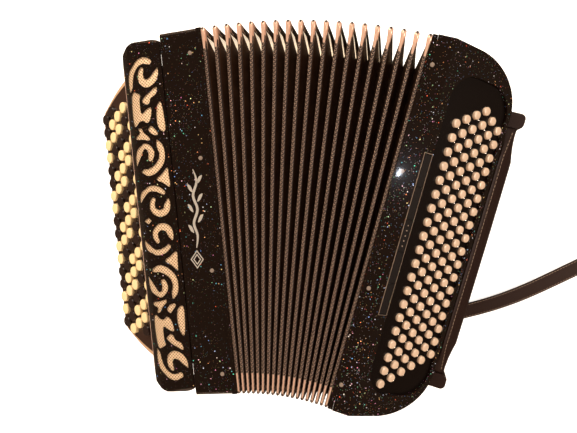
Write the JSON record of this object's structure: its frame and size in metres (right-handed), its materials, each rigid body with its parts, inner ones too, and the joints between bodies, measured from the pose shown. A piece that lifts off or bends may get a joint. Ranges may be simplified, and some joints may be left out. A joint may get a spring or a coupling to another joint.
{
  "type": "button accordion",
  "caption": "Chromatic button accordion lying on its back, bellows fanned open, with treble and bass buttons, grille, hand strap and a shoulder strap tail.",
  "frame": {"origin": "centre of the treble case's back face, which lies on the table", "axes": "+Z out of the front of the instrument, +X from the treble side to the bass side, +Y to the top end"},
  "size_m": [0.7029, 0.48, 0.2023],
  "materials": {
    "case_lacquer": "glossy black-brown lacquer with glitter",
    "black_trim": "glossy black-brown",
    "gold_mesh": "woven gold mesh",
    "inner_wood": "plain wood",
    "felted_pallets": "wood with pale felt",
    "mechanism_metal": "bare metal",
    "bright_metal": "polished",
    "button_plastic": "cream, polished",
    "bellows_cloth": "dark brown cloth over card",
    "register_plastic": "black",
    "strap_leather": "dark brown leather",
    "strap_metal": "worn brass"
  },
  "bodies": {
    "treble": {"treble_case": "case_lacquer", "treble_grille": "black_trim", "grille_mesh": "gold_mesh", "grille_fretwork": "black_trim", "fingerboard": "black_trim", "keyboard_body": "black_trim", "treble_bellows_frame": "inner_wood", "treble_soundboard": "inner_wood", "treble_reed_blocks": "inner_wood", "treble_pallets": "felted_pallets", "treble_levers": "mechanism_metal", "treble_pins": "bright_metal", "treble_strap_brackets": "bright_metal"},
    "treble_row_1_body": {"treble_row_1": "button_plastic"},
    "treble_row_2_body": {"treble_row_2": "button_plastic"},
    "treble_row_3_body": {"treble_row_3": "button_plastic"},
    "treble_row_4_body": {"treble_row_4": "button_plastic"},
    "treble_row_5_body": {"treble_row_5": "button_plastic"},
    "fold_01_body": {"fold_01": "bellows_cloth"},
    "fold_02_body": {"fold_02": "bellows_cloth"},
    "fold_03_body": {"fold_03": "bellows_cloth"},
    "fold_04_body": {"fold_04": "bellows_cloth"},
    "fold_05_body": {"fold_05": "bellows_cloth"},
    "fold_06_body": {"fold_06": "bellows_cloth"},
    "fold_07_body": {"fold_07": "bellows_cloth"},
    "fold_08_body": {"fold_08": "bellows_cloth"},
    "fold_09_body": {"fold_09": "bellows_cloth"},
    "fold_10_body": {"fold_10": "bellows_cloth"},
    "fold_11_body": {"fold_11": "bellows_cloth"},
    "fold_12_body": {"fold_12": "bellows_cloth"},
    "fold_13_body": {"fold_13": "bellows_cloth"},
    "fold_14_body": {"fold_14": "bellows_cloth"},
    "fold_15_body": {"fold_15": "bellows_cloth"},
    "fold_16_body": {"fold_16": "bellows_cloth"},
    "fold_17_body": {"fold_17": "bellows_cloth"},
    "bass": {"bass_case": "case_lacquer", "bass_button_panel": "black_trim", "bass_bellows_frame": "inner_wood", "bass_soundboard": "inner_wood", "bass_reed_blocks": "inner_wood", "bass_mechanism": "mechanism_metal", "bass_pins": "bright_metal", "strap_feet": "strap_leather", "hand_strap": "strap_leather", "shoulder_bracket": "strap_metal"},
    "bass_column_1_body": {"bass_column_1": "button_plastic"},
    "bass_column_2_body": {"bass_column_2": "button_plastic"},
    "bass_column_3_body": {"bass_column_3": "button_plastic"},
    "bass_column_4_body": {"bass_column_4": "button_plastic"},
    "bass_column_5_body": {"bass_column_5": "button_plastic"},
    "bass_column_6_body": {"bass_column_6": "button_plastic"},
    "register_1_body": {"register_1": "register_plastic"},
    "register_2_body": {"register_2": "register_plastic"},
    "register_3_body": {"register_3": "register_plastic"},
    "register_4_body": {"register_4": "register_plastic"},
    "register_5_body": {"register_5": "register_plastic"},
    "strap_wheel_body": {"strap_wheel": "bright_metal"},
    "air_button_body": {"air_button": "button_plastic"},
    "shoulder_strap_body": {"shoulder_strap": "strap_leather", "strap_clip": "strap_metal"}
  },
  "joints": [
    {"name": "bellows_fan", "type": "hinge", "parent": "treble", "child": "bass", "pos_m": [0.0813, -0.212, 0.1], "axis": [0, 0, 1], "range_deg": [-8, 20.7]},
    {"name": "fold_01_hinge", "type": "hinge", "parent": "treble", "child": "fold_01_body", "pos_m": [0.03285, -0.212, 0.1], "axis": [0, 0, 1], "range_deg": [-0.49, 1.2]},
    {"name": "fold_02_hinge", "type": "hinge", "parent": "treble", "child": "fold_02_body", "pos_m": [0.0357, -0.212, 0.1], "axis": [0, 0, 1], "range_deg": [-0.94, 2.35]},
    {"name": "fold_03_hinge", "type": "hinge", "parent": "treble", "child": "fold_03_body", "pos_m": [0.03855, -0.212, 0.1], "axis": [0, 0, 1], "range_deg": [-1.38, 3.5]},
    {"name": "fold_04_hinge", "type": "hinge", "parent": "treble", "child": "fold_04_body", "pos_m": [0.0414, -0.212, 0.1], "axis": [0, 0, 1], "range_deg": [-1.83, 4.65]},
    {"name": "fold_05_hinge", "type": "hinge", "parent": "treble", "child": "fold_05_body", "pos_m": [0.04425, -0.212, 0.1], "axis": [0, 0, 1], "range_deg": [-2.27, 5.8]},
    {"name": "fold_06_hinge", "type": "hinge", "parent": "treble", "child": "fold_06_body", "pos_m": [0.0471, -0.212, 0.1], "axis": [0, 0, 1], "range_deg": [-2.72, 6.95]},
    {"name": "fold_07_hinge", "type": "hinge", "parent": "treble", "child": "fold_07_body", "pos_m": [0.04995, -0.212, 0.1], "axis": [0, 0, 1], "range_deg": [-3.16, 8.1]},
    {"name": "fold_08_hinge", "type": "hinge", "parent": "treble", "child": "fold_08_body", "pos_m": [0.0528, -0.212, 0.1], "axis": [0, 0, 1], "range_deg": [-3.61, 9.25]},
    {"name": "fold_09_hinge", "type": "hinge", "parent": "treble", "child": "fold_09_body", "pos_m": [0.05565, -0.212, 0.1], "axis": [0, 0, 1], "range_deg": [-4.05, 10.4]},
    {"name": "fold_10_hinge", "type": "hinge", "parent": "treble", "child": "fold_10_body", "pos_m": [0.0585, -0.212, 0.1], "axis": [0, 0, 1], "range_deg": [-4.49, 11.55]},
    {"name": "fold_11_hinge", "type": "hinge", "parent": "treble", "child": "fold_11_body", "pos_m": [0.06135, -0.212, 0.1], "axis": [0, 0, 1], "range_deg": [-4.94, 12.7]},
    {"name": "fold_12_hinge", "type": "hinge", "parent": "treble", "child": "fold_12_body", "pos_m": [0.0642, -0.212, 0.1], "axis": [0, 0, 1], "range_deg": [-5.38, 13.85]},
    {"name": "fold_13_hinge", "type": "hinge", "parent": "treble", "child": "fold_13_body", "pos_m": [0.06705, -0.212, 0.1], "axis": [0, 0, 1], "range_deg": [-5.83, 15]},
    {"name": "fold_14_hinge", "type": "hinge", "parent": "treble", "child": "fold_14_body", "pos_m": [0.0699, -0.212, 0.1], "axis": [0, 0, 1], "range_deg": [-6.27, 16.15]},
    {"name": "fold_15_hinge", "type": "hinge", "parent": "treble", "child": "fold_15_body", "pos_m": [0.07275, -0.212, 0.1], "axis": [0, 0, 1], "range_deg": [-6.72, 17.3]},
    {"name": "fold_16_hinge", "type": "hinge", "parent": "treble", "child": "fold_16_body", "pos_m": [0.0756, -0.212, 0.1], "axis": [0, 0, 1], "range_deg": [-7.16, 18.45]},
    {"name": "fold_17_hinge", "type": "hinge", "parent": "treble", "child": "fold_17_body", "pos_m": [0.07845, -0.212, 0.1], "axis": [0, 0, 1], "range_deg": [-7.61, 19.6]},
    {"name": "treble_row_1_press", "type": "slide", "parent": "treble", "child": "treble_row_1_body", "axis": [0.5225, 0, -0.8526], "range_m": [0, 0.0035], "stiffness_N_per_m": 700, "springref_m": -0.004},
    {"name": "treble_row_2_press", "type": "slide", "parent": "treble", "child": "treble_row_2_body", "axis": [0.5225, 0, -0.8526], "range_m": [0, 0.0035], "stiffness_N_per_m": 700, "springref_m": -0.004},
    {"name": "treble_row_3_press", "type": "slide", "parent": "treble", "child": "treble_row_3_body", "axis": [0.5225, 0, -0.8526], "range_m": [0, 0.0035], "stiffness_N_per_m": 700, "springref_m": -0.004},
    {"name": "treble_row_4_press", "type": "slide", "parent": "treble", "child": "treble_row_4_body", "axis": [0.5225, 0, -0.8526], "range_m": [0, 0.0035], "stiffness_N_per_m": 700, "springref_m": -0.004},
    {"name": "treble_row_5_press", "type": "slide", "parent": "treble", "child": "treble_row_5_body", "axis": [0.5225, 0, -0.8526], "range_m": [0, 0.0035], "stiffness_N_per_m": 700, "springref_m": -0.004},
    {"name": "bass_column_1_press", "type": "slide", "parent": "bass", "child": "bass_column_1_body", "axis": [-0.5849, 0.221, -0.7804], "range_m": [0, 0.0028], "stiffness_N_per_m": 500, "springref_m": -0.003},
    {"name": "bass_column_2_press", "type": "slide", "parent": "bass", "child": "bass_column_2_body", "axis": [-0.5849, 0.221, -0.7804], "range_m": [0, 0.0028], "stiffness_N_per_m": 500, "springref_m": -0.003},
    {"name": "bass_column_3_press", "type": "slide", "parent": "bass", "child": "bass_column_3_body", "axis": [-0.5849, 0.221, -0.7804], "range_m": [0, 0.0028], "stiffness_N_per_m": 500, "springref_m": -0.003},
    {"name": "bass_column_4_press", "type": "slide", "parent": "bass", "child": "bass_column_4_body", "axis": [-0.5849, 0.221, -0.7804], "range_m": [0, 0.0028], "stiffness_N_per_m": 500, "springref_m": -0.003},
    {"name": "bass_column_5_press", "type": "slide", "parent": "bass", "child": "bass_column_5_body", "axis": [-0.5849, 0.221, -0.7804], "range_m": [0, 0.0028], "stiffness_N_per_m": 500, "springref_m": -0.003},
    {"name": "bass_column_6_press", "type": "slide", "parent": "bass", "child": "bass_column_6_body", "axis": [-0.5849, 0.221, -0.7804], "range_m": [0, 0.0028], "stiffness_N_per_m": 500, "springref_m": -0.003},
    {"name": "register_1_press", "type": "slide", "parent": "bass", "child": "register_1_body", "axis": [-0.5849, 0.221, -0.7804], "range_m": [0, 0.002], "stiffness_N_per_m": 400, "springref_m": -0.003},
    {"name": "register_2_press", "type": "slide", "parent": "bass", "child": "register_2_body", "axis": [-0.5849, 0.221, -0.7804], "range_m": [0, 0.002], "stiffness_N_per_m": 400, "springref_m": -0.003},
    {"name": "register_3_press", "type": "slide", "parent": "bass", "child": "register_3_body", "axis": [-0.5849, 0.221, -0.7804], "range_m": [0, 0.002], "stiffness_N_per_m": 400, "springref_m": -0.003},
    {"name": "register_4_press", "type": "slide", "parent": "bass", "child": "register_4_body", "axis": [-0.5849, 0.221, -0.7804], "range_m": [0, 0.002], "stiffness_N_per_m": 400, "springref_m": -0.003},
    {"name": "register_5_press", "type": "slide", "parent": "bass", "child": "register_5_body", "axis": [-0.5849, 0.221, -0.7804], "range_m": [0, 0.002], "stiffness_N_per_m": 400, "springref_m": -0.003},
    {"name": "strap_wheel_turn", "type": "hinge", "parent": "bass", "child": "strap_wheel_body", "pos_m": [0.34464, 0.14175, 0.06], "axis": [0.3535, 0.9354, 0], "continuous": true},
    {"name": "air_button_press", "type": "slide", "parent": "bass", "child": "air_button_body", "axis": [-0.9354, 0.3535, 0], "range_m": [0, 0.004], "stiffness_N_per_m": 500, "springref_m": -0.003},
    {"name": "shoulder_strap_swing", "type": "hinge", "parent": "bass", "child": "shoulder_strap_body", "pos_m": [0.28356, -0.17832, 0.005], "axis": [0, 0, 1], "range_deg": [-12, 25]}
  ],
  "couplings": [
    {"joint": "fold_01_hinge", "follows": "bellows_fan", "ratio": 0.055556},
    {"joint": "fold_02_hinge", "follows": "bellows_fan", "ratio": 0.11111},
    {"joint": "fold_03_hinge", "follows": "bellows_fan", "ratio": 0.16667},
    {"joint": "fold_04_hinge", "follows": "bellows_fan", "ratio": 0.22222},
    {"joint": "fold_05_hinge", "follows": "bellows_fan", "ratio": 0.27778},
    {"joint": "fold_06_hinge", "follows": "bellows_fan", "ratio": 0.33333},
    {"joint": "fold_07_hinge", "follows": "bellows_fan", "ratio": 0.38889},
    {"joint": "fold_08_hinge", "follows": "bellows_fan", "ratio": 0.44444},
    {"joint": "fold_09_hinge", "follows": "bellows_fan", "ratio": 0.5},
    {"joint": "fold_10_hinge", "follows": "bellows_fan", "ratio": 0.55556},
    {"joint": "fold_11_hinge", "follows": "bellows_fan", "ratio": 0.61111},
    {"joint": "fold_12_hinge", "follows": "bellows_fan", "ratio": 0.66667},
    {"joint": "fold_13_hinge", "follows": "bellows_fan", "ratio": 0.72222},
    {"joint": "fold_14_hinge", "follows": "bellows_fan", "ratio": 0.77778},
    {"joint": "fold_15_hinge", "follows": "bellows_fan", "ratio": 0.83333},
    {"joint": "fold_16_hinge", "follows": "bellows_fan", "ratio": 0.88889},
    {"joint": "fold_17_hinge", "follows": "bellows_fan", "ratio": 0.94444}
  ]
}
